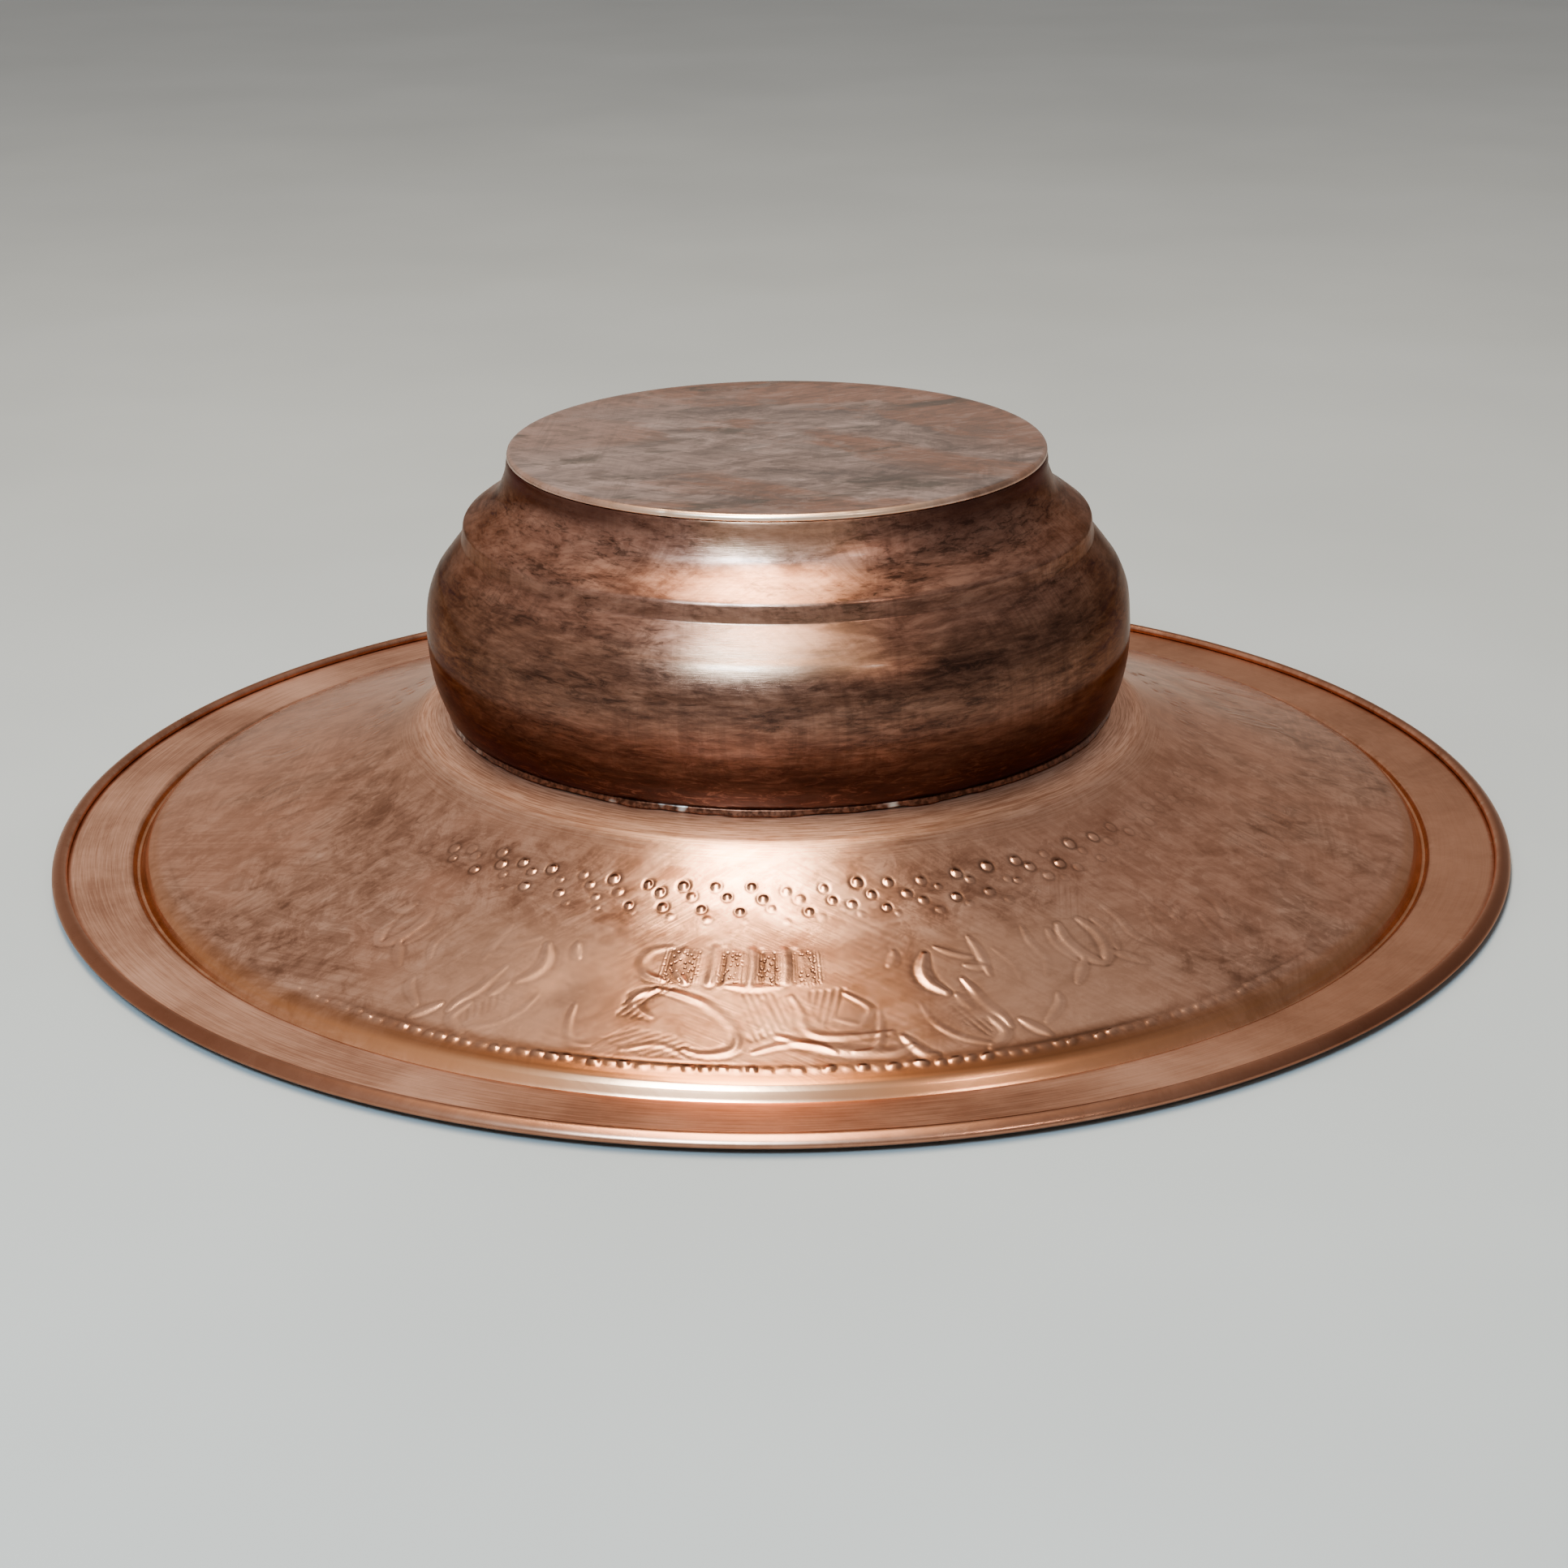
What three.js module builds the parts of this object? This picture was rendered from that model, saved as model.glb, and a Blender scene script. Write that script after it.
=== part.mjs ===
// Hand-washing basin of chased sheet copper, lying face down: the foot is on top and the wide rim is below.
// Millimetres, +Z up. The origin is at the centre of the plane that the rim rests on.
// Every piece is a solid of revolution round Z, drawn as an outline in the (radius, height) half-plane.

import * as THREE from 'three';

// ---------------------------------------------------------------- driving dimensions

const FACETS = 60;
const SHEET = 0.9;
const GAP = 0.3;

const RIM_RADIUS = 180;
const WIRE_RADIUS = 0.45;
const WIRE_INSET = 1.8;
const WIRE_HEIGHT = 2.75;
const WIRE_SIDES = 8;
const CURL_START = -108;
const CURL_END = 205;
const CURL_STEPS = 8;

const FOOT_TOP = 97.8;
const FOOT_RADIUS = 65.2;
const FOOT_LIP_DEPTH = 1.6;
const FOOT_LEDGE_WIDTH = 4.0;

const NECK_RADIUS = 80.6;
const NECK_HEIGHT = 33.0;
const COLLAR_RADIUS = 81.3;
const COLLAR_HEIGHT = 33.2;
const CREASE_RADIUS = 89.6;
const CREASE_HEIGHT = 30.2;
const NECK_LIP_WIDTH = 4.0;

const GROOVE_INNER = 159.1;
const GROOVE_OUTER = 159.9;

// ---------------------------------------------------------------- outline helpers

const at = (radius, height) => new THREE.Vector2(radius, height);

/** Points on a circular arc, its angles in degrees, measured from the outward direction. */
function arc(centre, radius, from, to, steps) {
  return Array.from({ length: steps + 1 }, (_, i) => {
    const angle = THREE.MathUtils.degToRad(THREE.MathUtils.lerp(from, to, i / steps));
    return at(centre.x + radius * Math.cos(angle), centre.y + radius * Math.sin(angle));
  });
}

/** A smooth stretch through a few points. */
function smooth(points, steps) {
  return new THREE.SplineCurve(points).getPoints(steps);
}

/** The path moved sideways, to its right for a positive distance, with mitred corners. */
function offset(path, distance) {
  return path.map((point, i) => {
    const before = path[Math.max(i - 1, 0)];
    const after = path[Math.min(i + 1, path.length - 1)];
    const along = [point.clone().sub(before), after.clone().sub(point)];
    const normals = along
      .filter((step) => step.length() > 0)
      .map((step) => at(step.y, -step.x).normalize());
    const middle = normals.reduce((sum, normal) => sum.clone().add(normal)).normalize();
    return point.clone().addScaledVector(middle, distance / middle.dot(normals[0]));
  });
}

/** The closed outline of a sheet whose one face is the path and whose other face lies to its right. */
function sheetOutline(path, thickness) {
  return [...path, ...offset(path, thickness).reverse()];
}

/** A named solid of revolution with the outline as its section. */
function revolve(name, outline, material) {
  const turnsLeft = THREE.ShapeUtils.area(outline) > 0;
  const section = turnsLeft ? [...outline] : [...outline].reverse();
  const geometry = new THREE.LatheGeometry([...section, section[0]], FACETS);
  geometry.rotateX(Math.PI / 2);
  const mesh = new THREE.Mesh(geometry, material);
  mesh.name = name;
  return mesh;
}

// ---------------------------------------------------------------- materials

const copperBody = new THREE.MeshStandardMaterial({ color: 0x6b3f2e, roughness: 0.36, metalness: 1 });
const copperFoot = new THREE.MeshStandardMaterial({ color: 0x7a5246, roughness: 0.42, metalness: 1 });
const copperFlange = new THREE.MeshStandardMaterial({ color: 0x9a6650, roughness: 0.38, metalness: 1 });
const ironWire = new THREE.MeshStandardMaterial({ color: 0x5a554f, roughness: 0.5, metalness: 1 });
const neckSolder = new THREE.MeshStandardMaterial({ color: 0xb8aa9c, roughness: 0.4, metalness: 1 });
const footSolder = new THREE.MeshStandardMaterial({ color: 0xa9a39a, roughness: 0.45, metalness: 1 });

// ---------------------------------------------------------------- bowl: neck, bulb, shoulder and foot wall

/** The outer face of the raised bowl, from the lip folded under the flange up to the foot's ledge. */
function bowlFace() {
  const collarSlope = at(CREASE_RADIUS - COLLAR_RADIUS, CREASE_HEIGHT - COLLAR_HEIGHT).normalize();
  const collarDown = at(collarSlope.y, -collarSlope.x);
  const lipRoot = at(COLLAR_RADIUS, COLLAR_HEIGHT).addScaledVector(collarDown, SHEET + GAP);
  const lipEnd = lipRoot.clone().addScaledVector(collarSlope, NECK_LIP_WIDTH);
  const ledge = FOOT_TOP - SHEET - GAP;
  const wall = FOOT_RADIUS - SHEET - GAP;
  const bulb = smooth([
    at(NECK_RADIUS, NECK_HEIGHT),
    at(83.0, 36.3),
    at(85.0, 42.0),
    at(86.1, 48.5),
    at(86.4, 55.5),
    at(85.7, 62.0),
    at(83.75, 67.3),
    at(81.8, 70.2),
    at(79.5, 73.2),
    at(77.0, 76.3),
  ], 13);
  const shoulder = arc(at(74.6, 79.5), 1.9, 0, 55, 3);
  const cove = smooth([
    at(73.6, 82.6),
    at(70.4, 84.8),
    at(67.5, 87.1),
    at(66.1, 90.3),
    at(65.8, FOOT_TOP - FOOT_LIP_DEPTH - GAP - 1),
  ], 6);
  return [
    lipEnd,
    at(NECK_RADIUS, lipRoot.y - 0.1),
    ...bulb,
    ...shoulder,
    ...cove,
    at(wall, FOOT_TOP - FOOT_LIP_DEPTH - GAP),
    at(wall, ledge),
    at(wall - FOOT_LEDGE_WIDTH, ledge),
  ];
}

// ---------------------------------------------------------------- flange: collar, dish, groove, border and roll

const wireCentre = at(RIM_RADIUS - WIRE_INSET, WIRE_HEIGHT);

/** The outside of the rolled edge, from the seam on its inner side, over the top and down to the underside. */
function rollOutside() {
  return [
    at(RIM_RADIUS - 3.65, 2.5),
    at(RIM_RADIUS - 3.75, 3.2),
    at(RIM_RADIUS - 3.4, 3.85),
    at(RIM_RADIUS - 2.7, 4.2),
    at(RIM_RADIUS - 1.8, 4.1),
    at(RIM_RADIUS - 0.9, 3.6),
    at(RIM_RADIUS - 0.25, 2.95),
    at(RIM_RADIUS, 2.3),
    at(RIM_RADIUS - 0.4, 1.65),
    at(RIM_RADIUS - 1.3, 1.25),
    at(RIM_RADIUS - 2.2, 1.15),
  ];
}

/** The whole section of the flange, from the collar round the neck to the edge curled tight round the wire. */
function flangeOutline() {
  const dish = smooth([
    at(CREASE_RADIUS, CREASE_HEIGHT),
    at(101.7, 23.6),
    at(116.6, 17.95),
    at(134.6, 11.9),
    at(152.8, 5.95),
  ], 8);
  const face = [
    at(COLLAR_RADIUS, COLLAR_HEIGHT),
    ...dish,
    at(155.8, 4.95),
    at(156.9, 4.3),
    at(157.8, 3.15),
    at(GROOVE_INNER, SHEET),
    at(GROOVE_OUTER, SHEET),
    at(160.9, 2.4),
    at(175.4, 2.6),
  ];
  const curlInside = arc(wireCentre, WIRE_RADIUS + GAP, CURL_START, CURL_END, CURL_STEPS);
  const underside = offset([...face, curlInside[0]], SHEET).slice(0, -1);
  return [...face, ...curlInside, ...rollOutside(), ...underside.reverse()];
}

// ---------------------------------------------------------------- base disc with its folded lip

/** The whole section of the base disc: flat, with its edge rounded and turned down over the foot wall. */
function baseDiscOutline() {
  const corner = 0.9;
  return [
    at(0, FOOT_TOP - SHEET),
    at(FOOT_RADIUS - SHEET, FOOT_TOP - SHEET),
    at(FOOT_RADIUS - SHEET, FOOT_TOP - FOOT_LIP_DEPTH),
    at(FOOT_RADIUS, FOOT_TOP - FOOT_LIP_DEPTH),
    ...arc(at(FOOT_RADIUS - corner, FOOT_TOP - corner), corner, 0, 90, 3),
    at(0, FOOT_TOP),
  ];
}

// ---------------------------------------------------------------- solder fillets

/** The fillet of solder in the notch between the bulb's underside and the collar. */
function neckSolderOutline() {
  return [
    at(81.55, 33.5),
    at(83.2, 32.88),
    at(82.9, 33.7),
    at(82.55, 34.5),
  ];
}

/** The fillet of solder inside the foot, between the base disc and the edge of the ledge. */
function footSolderOutline() {
  const edge = FOOT_RADIUS - SHEET - GAP - FOOT_LEDGE_WIDTH - GAP;
  const top = FOOT_TOP - SHEET - GAP;
  return [
    at(edge, top),
    at(edge - 1.3, top),
    at(edge - 0.5, top - 0.5),
    at(edge, top - 1.2),
  ];
}

// ---------------------------------------------------------------- assembly

const basin = new THREE.Group();
const wireOutline = arc(wireCentre, WIRE_RADIUS, 0, 360, WIRE_SIDES).slice(0, WIRE_SIDES);

basin.add(
  revolve('bowl_body', sheetOutline(bowlFace(), -SHEET), copperBody),
  revolve('rim_flange', flangeOutline(), copperFlange),
  revolve('base_disc', baseDiscOutline(), copperFoot),
  revolve('rim_wire', wireOutline, ironWire),
  revolve('neck_solder', neckSolderOutline(), neckSolder),
  revolve('foot_solder', footSolderOutline(), footSolder),
);

export default basin;
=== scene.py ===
import math

import bpy
import numpy as np
from mathutils import Matrix, Vector


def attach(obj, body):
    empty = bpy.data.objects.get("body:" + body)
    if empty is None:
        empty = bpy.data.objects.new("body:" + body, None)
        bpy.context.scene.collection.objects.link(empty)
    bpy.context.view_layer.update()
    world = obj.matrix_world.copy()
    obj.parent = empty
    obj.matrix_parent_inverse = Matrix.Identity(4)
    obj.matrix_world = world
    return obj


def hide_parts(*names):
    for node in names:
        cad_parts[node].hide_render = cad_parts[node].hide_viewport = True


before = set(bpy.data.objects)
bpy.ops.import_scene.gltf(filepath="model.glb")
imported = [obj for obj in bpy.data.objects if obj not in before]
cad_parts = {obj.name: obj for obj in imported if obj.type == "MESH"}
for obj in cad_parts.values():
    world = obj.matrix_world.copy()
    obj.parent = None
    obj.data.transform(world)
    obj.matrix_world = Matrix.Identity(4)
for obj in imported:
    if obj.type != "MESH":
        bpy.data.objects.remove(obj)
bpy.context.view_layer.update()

MM = 0.001
SEED = 20

# ==================== measures, in millimetres
# They repeat the driving dimensions of the solids. Heights are above the plane that the rim rests on.

SHEET = 0.9
GAP = 0.3
RIM_RADIUS = 180.0
WIRE_CENTRE = (178.2, 2.75)
CURL_RADIUS = 0.75
CURL_START, CURL_END = -108, 205
FOOT_TOP = 97.8
FOOT_RADIUS = 65.2
FOOT_LIP_DEPTH = 1.6
FOOT_LEDGE_WIDTH = 4.0
NECK_RADIUS = 80.6
NECK_HEIGHT = 33.0
COLLAR = (81.3, 33.2)
CREASE = (89.6, 30.2)
NECK_LIP_WIDTH = 4.0
GROOVE_FLOOR = (159.1, 159.9)

# ==================== small helpers


def smoothstep(low, high, x):
    t = np.clip((x - low) / (high - low), 0.0, 1.0)
    return t * t * (3.0 - 2.0 * t)


def spline(points, steps):
    """Points on a smooth curve through the given ones, with `steps` to each stretch."""
    p = np.array(points, float)
    before = np.vstack([p[:1], p[:-1]])
    after = np.vstack([p[1:], p[-1:]])
    slope = (after - before) * 0.5
    t = np.linspace(0.0, 1.0, steps, endpoint=False)[:, None]
    parts = [(2 * a - 2 * b + va + vb) * t**3 + (-3 * a + 3 * b - 2 * va - vb) * t**2 + va * t + a
             for a, b, va, vb in zip(p[:-1], p[1:], slope[:-1], slope[1:])]
    return np.vstack([*parts, p[-1:]])


def arc(centre, radius, start, end, steps):
    """Points on an arc, its angles in degrees from the outward direction."""
    a = np.radians(np.linspace(start, end, steps + 1))
    return np.c_[centre[0] + radius * np.cos(a), centre[1] + radius * np.sin(a)]


def rounded(points, radii, step=0.25):
    """A path through the points with each inner corner rounded to its radius."""
    p = np.array(points, float)
    out = [p[:1]]
    for before, corner, after, radius in zip(p[:-2], p[1:-1], p[2:], radii):
        u = (before - corner) / np.linalg.norm(before - corner)
        v = (after - corner) / np.linalg.norm(after - corner)
        half = math.acos(np.clip(np.dot(u, v), -1, 1)) / 2
        if radius == 0 or half > math.radians(89.5):
            out.append(corner[None])
            continue
        room = 0.49 * min(np.linalg.norm(before - corner), np.linalg.norm(after - corner))
        reach = min(radius / math.tan(half), room)
        radius = reach * math.tan(half)
        centre = corner + (u + v) / np.linalg.norm(u + v) * (radius / math.sin(half))
        first, last = corner + u * reach - centre, corner + v * reach - centre
        turn = math.pi - 2 * half
        count = max(2, int(radius * turn / step))
        side = np.sign(first[0] * last[1] - first[1] * last[0])
        a = math.atan2(first[1], first[0]) + side * np.linspace(0, turn, count + 1)
        out.append(centre + radius * np.c_[np.cos(a), np.sin(a)])
    return np.vstack([*out, p[-1:]])


def resample(path, step):
    """The path with its long stretches divided, so that no step is longer than the one given."""
    out = [path[:1]]
    for a, b in zip(path[:-1], path[1:]):
        count = max(1, int(math.ceil(np.linalg.norm(b - a) / step)))
        t = np.linspace(0, 1, count + 1)[1:, None]
        out.append(a + (b - a) * t)
    return np.vstack(out)


def normals(path):
    """The unit normals of an open path, to the right of its direction."""
    d = np.gradient(path, axis=0)
    d /= np.linalg.norm(d, axis=1)[:, None]
    return np.c_[d[:, 1], -d[:, 0]]


def mitred(path, distance):
    """The path moved to the right of its direction by the same distance everywhere, corners kept sharp."""
    d = np.diff(path, axis=0)
    d /= np.linalg.norm(d, axis=1)[:, None]
    side = np.c_[d[:, 1], -d[:, 0]]
    before = np.vstack([side[:1], side])
    after = np.vstack([side, side[-1:]])
    middle = before + after
    return path + middle * (distance * 2 / np.einsum("ij,ij->i", middle, middle))[:, None]


class Noise:
    """Seeded value noise on a (turn, distance) strip that closes on itself round the turn."""

    def __init__(self, seed, round_cells, length_cells, length):
        rng = np.random.default_rng(seed)
        self.grid = rng.uniform(-1, 1, (length_cells + 1, round_cells))
        self.length = length

    def __call__(self, turn, distance):
        rows, columns = self.grid.shape
        u = (np.asarray(turn) / (2 * np.pi)) % 1.0 * columns
        v = np.clip(np.asarray(distance) / self.length, 0, 0.99999) * (rows - 1)
        i, j = np.floor(u).astype(int), np.floor(v).astype(int)
        fu, fv = u - i, v - j
        fu, fv = fu * fu * (3 - 2 * fu), fv * fv * (3 - 2 * fv)
        a, b = self.grid[j, i % columns], self.grid[j, (i + 1) % columns]
        c, d = self.grid[j + 1, i % columns], self.grid[j + 1, (i + 1) % columns]
        return (a * (1 - fu) + b * fu) * (1 - fv) + (c * (1 - fu) + d * fu) * fv


def random_dents(rng, count, places, sizes, depths):
    """Shallow dents: the turn, the place along the section, the size and the depth of each."""
    limits = ((0, 2 * np.pi), places, sizes, depths)
    return [tuple(rng.uniform(*pair) for pair in limits) for _ in range(count)]


def dented(amount, dents, turn, radius, place):
    """The amount with the depths of the dents added, round a ring at one place along the section."""
    for at, middle, size, depth in dents:
        away = (np.angle(np.exp(1j * (turn - at))) * radius) ** 2 + (place - middle) ** 2
        amount = amount + depth * np.exp(-away / size**2)
    return amount


def turn_angles(count):
    """Angles round the axis: 0 faces the front, and they grow towards +X."""
    return np.arange(count) * (2 * np.pi / count)


# ==================== solids of revolution


class Ring:
    """One ring of vertices: its radii and heights at equal steps of turn, and values for the materials."""

    def __init__(self, count, radius, height, along, values=None):
        self.count = count
        self.radius = np.broadcast_to(radius, count).astype(float)
        self.height = np.broadcast_to(height, count).astype(float)
        self.along = along
        self.values = {k: np.broadcast_to(v, count).astype(float) for k, v in (values or {}).items()}


def strip_faces(first, second, start_first, start_second):
    """The faces between two rings, as (flat vertex list, corner count of each face)."""
    n, m = first.count, second.count
    if n == m:
        a = np.arange(n)
        b = (a + 1) % n
        quads = np.c_[start_first + a, start_first + b, start_second + b, start_second + a]
        return quads.ravel(), np.full(n, 4)
    fine, coarse = (n, m) if n > m else (m, n)
    per = fine // coarse
    a = np.arange(coarse)
    steps = (a[:, None] * per + np.arange(per + 1)[None]) % fine
    b = (a + 1) % coarse
    if n > m:
        faces = np.c_[start_first + steps, start_second + b, start_second + a]
    else:
        faces = np.c_[start_first + a, start_first + b, (start_second + steps)[:, ::-1]]
    return faces.ravel(), np.full(coarse, per + 3)


def build_mesh(name, rings, closed, caps=()):
    """A mesh from rings, its section closed on itself or its ends capped at the axis."""
    starts = np.cumsum([0] + [ring.count for ring in rings])
    co, sweep = [], []
    for ring in rings:
        turn = turn_angles(ring.count)
        co.append(np.c_[ring.radius * np.sin(turn), -ring.radius * np.cos(turn), ring.height] * MM)
        sweep.append(np.c_[np.cos(turn), np.sin(turn), np.full(ring.count, ring.along / 10.0)])
    loops, counts = [], []
    pairs = list(zip(range(len(rings) - 1), range(1, len(rings))))
    if closed:
        pairs.append((len(rings) - 1, 0))
    for i, j in pairs:
        v, c = strip_faces(rings[i], rings[j], starts[i], starts[j])
        loops.append(v)
        counts.append(c)
    total = int(starts[-1])
    for index, height in caps:
        ring = rings[index]
        a = np.arange(ring.count)
        b = (a + 1) % ring.count
        first, second = (a, b) if index else (b, a)
        corners = np.c_[starts[index] + first, starts[index] + second, np.full(ring.count, total)]
        loops.append(corners.ravel())
        counts.append(np.full(ring.count, 3))
        co.append(np.array([[0.0, 0.0, height * MM]]))
        sweep.append(np.array([[0.0, 0.0, 0.0]]))
        total += 1
    co, sweep = np.vstack(co), np.vstack(sweep)
    loops, counts = np.concatenate(loops), np.concatenate(counts)
    mesh = bpy.data.meshes.new(name)
    mesh.vertices.add(len(co))
    mesh.vertices.foreach_set("co", co.astype(np.float32).ravel())
    mesh.loops.add(len(loops))
    mesh.loops.foreach_set("vertex_index", loops.astype(np.int32))
    mesh.polygons.add(len(counts))
    mesh.polygons.foreach_set("loop_start", np.r_[0, np.cumsum(counts)[:-1]].astype(np.int32))
    mesh.polygons.foreach_set("use_smooth", np.ones(len(counts), bool))
    attribute = mesh.attributes.new("sweep", "FLOAT_VECTOR", "POINT")
    attribute.data.foreach_set("vector", sweep.astype(np.float32).ravel())
    extra = len(co) - int(starts[-1])
    for key in rings[0].values:
        data = np.concatenate([ring.values[key] for ring in rings] + [np.zeros(extra)])
        attribute = mesh.attributes.new(key, "FLOAT", "POINT")
        attribute.data.foreach_set("value", data.astype(np.float32))
    mesh.update(calc_edges=True)
    mesh.validate()
    if signed_volume(mesh) < 0:
        mesh.flip_normals()
    piece = bpy.data.objects.new(name, mesh)
    bpy.context.scene.collection.objects.link(piece)
    return piece


def signed_volume(mesh):
    mesh.calc_loop_triangles()
    tri = np.zeros(len(mesh.loop_triangles) * 3, np.int32)
    mesh.loop_triangles.foreach_get("vertices", tri)
    co = np.zeros(len(mesh.vertices) * 3, np.float32)
    mesh.vertices.foreach_get("co", co)
    p = co.reshape(-1, 3)[tri.reshape(-1, 3)].astype(float)
    return np.einsum("ij,ij->i", p[:, 0], np.cross(p[:, 1], p[:, 2])).sum() / 6


# ==================== chased ornament of the flange
# A relief over (turn, radius), in millimetres of height. Raised is towards the upper face.

ORNAMENT_INNER, ORNAMENT_OUTER = 98.4, 155.4
ORNAMENT_STEP = 0.42
ORNAMENT_TURNS = 2160
STROKE_SHARE = 0.46


class Relief:
    """The relief and the stippled patches, on a grid of (radius, turn)."""

    def __init__(self):
        self.radii = np.arange(ORNAMENT_INNER, ORNAMENT_OUTER, ORNAMENT_STEP)
        self.turns = turn_angles(ORNAMENT_TURNS)
        shape = (len(self.radii), ORNAMENT_TURNS)
        self.height = np.zeros(shape)
        self.stipple = np.zeros(shape)
        self.wear = Noise(SEED + 1, 46, 7, ORNAMENT_OUTER - ORNAMENT_INNER)
        self.rng = np.random.default_rng(SEED)

    def window(self, turn, radius, reach):
        """The part of the grid near a point: its indices, the offsets in millimetres, and its radii."""
        i0 = max(0, int((radius - reach - ORNAMENT_INNER) / ORNAMENT_STEP))
        i1 = min(len(self.radii), int((radius + reach - ORNAMENT_INNER) / ORNAMENT_STEP) + 2)
        width = int(reach / radius / (2 * np.pi) * ORNAMENT_TURNS) + 2
        centre = int(round(turn / (2 * np.pi) * ORNAMENT_TURNS))
        j = np.arange(centre - width, centre + width + 1)
        rr, tt = np.meshgrid(self.radii[i0:i1], j * (2 * np.pi / ORNAMENT_TURNS), indexing="ij")
        return np.ix_(np.arange(i0, i1), j % ORNAMENT_TURNS), (tt - turn) * rr, rr - radius, rr

    def boss(self, turn, radius, size, height, ring):
        """A punched dot: a round boss, with a shallow ring pressed round it."""
        where, u, v, _ = self.window(turn, radius, size * 2.2)
        d = np.hypot(u, v)
        dome = np.clip(1 - (d / size) ** 2, 0, 1) ** 0.8
        moat = np.exp(-(((d - size * 1.25) / (size * 0.35)) ** 2))
        self.height[where] += height * dome - ring * moat

    def bead(self, turn, radius, half_length, half_width, height, lean):
        """A short oblong bead lying along the turn."""
        where, u, v, _ = self.window(turn, radius, half_length * 1.8)
        u = u + lean * v
        d = (np.abs(u / half_length) ** 2.6 + np.abs(v / half_width) ** 2.4)
        self.height[where] += height * np.clip(1 - d, 0, 1) ** 0.6

    def stroke(self, points, width, height, taper=0.35):
        """A tapering ridge along a smooth line of (degrees, radius) points, with a worn height."""
        line = spline([(math.radians(a), r) for a, r in points], 6)
        middle = line[len(line) // 2]
        reach = max(np.hypot((line[:, 0] - middle[0]) * middle[1], line[:, 1] - middle[1])) + 3 * width
        where, u, v, rr = self.window(middle[0], middle[1], reach)
        px = (line[:, 0] - middle[0]) * line[:, 1]
        py = line[:, 1] - middle[1]
        best = np.full(u.shape, 1e9)
        share = np.zeros(u.shape)
        total = len(line) - 1
        for k in range(total):
            ax, ay, bx, by = px[k], py[k], px[k + 1], py[k + 1]
            length = (bx - ax) ** 2 + (by - ay) ** 2
            t = np.clip(((u - ax) * (bx - ax) + (v - ay) * (by - ay)) / length, 0, 1)
            d = np.hypot(u - ax - t * (bx - ax), v - ay - t * (by - ay))
            nearer = d < best
            best[nearer] = d[nearer]
            share[nearer] = (k + t[nearer]) / total
        girth = 1.35 * width * (taper + (1 - taper) * np.sin(np.pi * np.clip(share, 0.04, 0.96)) ** 0.6)
        ridge = np.exp(-((best / girth) ** 2) * 1.6)
        trough = np.exp(-(((best - 1.7 * girth) / (0.55 * girth)) ** 2))
        worn = self.worn(where, rr)
        self.height[where] += STROKE_SHARE * height * worn * (ridge - 0.25 * trough)

    def patch(self, points):
        """The grid round a closed outline of (degrees, radius) points, and what of it lies inside."""
        outline = np.array([(math.radians(a), r) for a, r in points])
        middle = outline.mean(0)
        reach = max(np.hypot((outline[:, 0] - middle[0]) * middle[1], outline[:, 1] - middle[1])) + 1
        where, u, v, rr = self.window(middle[0], middle[1], reach)
        px = (outline[:, 0] - middle[0]) * outline[:, 1]
        py = outline[:, 1] - middle[1]
        inside = np.zeros(u.shape, bool)
        for k in range(len(px)):
            ax, ay, bx, by = px[k - 1], py[k - 1], px[k], py[k]
            crosses = (ay > v) != (by > v)
            with np.errstate(divide="ignore", invalid="ignore"):
                at = (bx - ax) * (v - ay) / (by - ay) + ax
            inside ^= crosses & (u < at)
        return where, u, v, rr, inside

    def ground(self, points, depth):
        """A sunken, stippled patch."""
        where, _, _, _, inside = self.patch(points)
        self.stipple[where] = np.maximum(self.stipple[where], inside)
        self.height[where] -= depth * inside

    def hatch(self, points, lean, pitch, depth):
        """A patch of fine parallel lines, leaning by an angle from the radial direction."""
        where, u, v, rr, inside = self.patch(points)
        across = u * math.cos(math.radians(lean)) + v * math.sin(math.radians(lean))
        lines = 0.5 - 0.5 * np.cos(2 * np.pi * across / pitch)
        self.height[where] -= depth * lines * inside * self.worn(where, rr)

    def worn(self, where, rr):
        """The share of the height that is left, from patch to patch."""
        turn = self.turns[where[1]]
        amount = self.wear(np.broadcast_to(turn, rr.shape), rr - ORNAMENT_INNER)
        return 0.3 + 0.7 * smoothstep(-0.5, 0.4, amount)

    def rub(self):
        """The sides are rubbed almost smooth, the back partly, and the stippled patches have soft edges."""
        aside = np.abs(np.angle(np.exp(1j * self.turns)))
        rubbed = 0.7 * smoothstep(0.64, 0.95, aside) - 0.35 * smoothstep(1.5, 2.2, aside)
        self.height *= 1 - rubbed
        for _ in range(2):
            self.stipple = (self.stipple + np.roll(self.stipple, 2, 1) + np.roll(self.stipple, -2, 1)
                            + np.roll(self.stipple, 1, 0) + np.roll(self.stipple, -1, 0)) / 5


def chase_dots(relief):
    """Three rows of punched dots that step outwards in slanting threes, and a worn fourth row."""
    columns = 83
    first = math.radians(0.7)
    rows = ((101.6, 0.0, 1.15, 0.3), (104.4, 1.35, 1.1, 0.26),
            (107.4, 2.7, 1.1, 0.26), (110.0, 4.0, 1.0, 0.07))
    for k in range(columns):
        for radius, shift, size, height in rows:
            turn = first + math.radians(shift) + k * 2 * math.pi / columns + relief.rng.normal(0, 0.0042)
            place = radius + relief.rng.normal(0, 0.42)
            strength = height * relief.rng.uniform(0.35, 1.1)
            relief.boss(turn, place, size * relief.rng.uniform(0.75, 1.1), strength, 0.35 * strength)


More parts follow.
